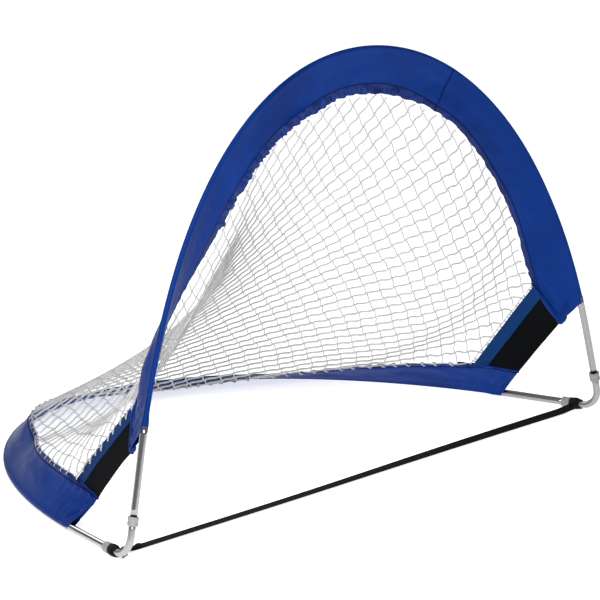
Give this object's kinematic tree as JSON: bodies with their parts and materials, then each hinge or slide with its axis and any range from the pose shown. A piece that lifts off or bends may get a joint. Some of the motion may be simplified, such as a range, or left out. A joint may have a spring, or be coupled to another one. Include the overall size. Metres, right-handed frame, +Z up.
{
  "type": "pop up goal",
  "caption": "Pop up lawn goal: springy arch and ground hoop in fabric sleeves, chrome corner tubes, elbows, a net between them and a ground strap across the mouth.",
  "frame": {"origin": "middle of the bounding box, on the floor", "axes": "+X along the ground strap from the left corner to the right corner seen from the mouth, +Y from the mouth to the back, +Z up"},
  "size_m": [1.8136, 1.1264, 1.1613],
  "materials": {
    "rod": "glass-fibre rod, hidden in the sleeves",
    "tube": "polished",
    "collar": "light grey, soft",
    "elbow": "dull bright steel",
    "sleeve": "royal blue coated cloth",
    "panel": "black woven cloth",
    "net": "white knotted twine",
    "webbing": "black webbing",
    "cord": "black cord"
  },
  "bodies": {
    "base": {"base_rod": "rod", "base_tube_left": "tube", "arch_collar_left": "collar", "base_collar_left": "collar", "elbow_left": "elbow", "strap_wrap_left": "webbing", "corner_panel_left": "panel", "panel_border_left": "sleeve", "base_tube_right": "tube", "arch_collar_right": "collar", "base_collar_right": "collar", "elbow_right": "elbow", "strap_wrap_right": "webbing", "corner_panel_right": "panel", "panel_border_right": "sleeve", "base_sleeve": "sleeve", "net": "net", "ground_strap": "webbing", "strap_tail_left": "webbing", "cord_end_left": "cord"},
    "arch": {"arch_rod": "rod", "arch_tube_left": "tube", "arch_tube_right": "tube", "arch_sleeve": "sleeve"}
  },
  "joints": [
    {"name": "arch_fold", "type": "hinge", "parent": "base", "child": "arch", "pos_m": [0, -0.5491, 0.1082], "axis": [-1, 0, 0], "range_deg": [0, 84], "stiffness_Nm_per_rad": 10, "springref_deg": -20.05, "deforming": ["arch_sleeve", "base_sleeve", "net", "corner_panel_left", "corner_panel_right", "panel_border_left", "panel_border_right", "arch_collar_left", "arch_collar_right"]}
  ]
}
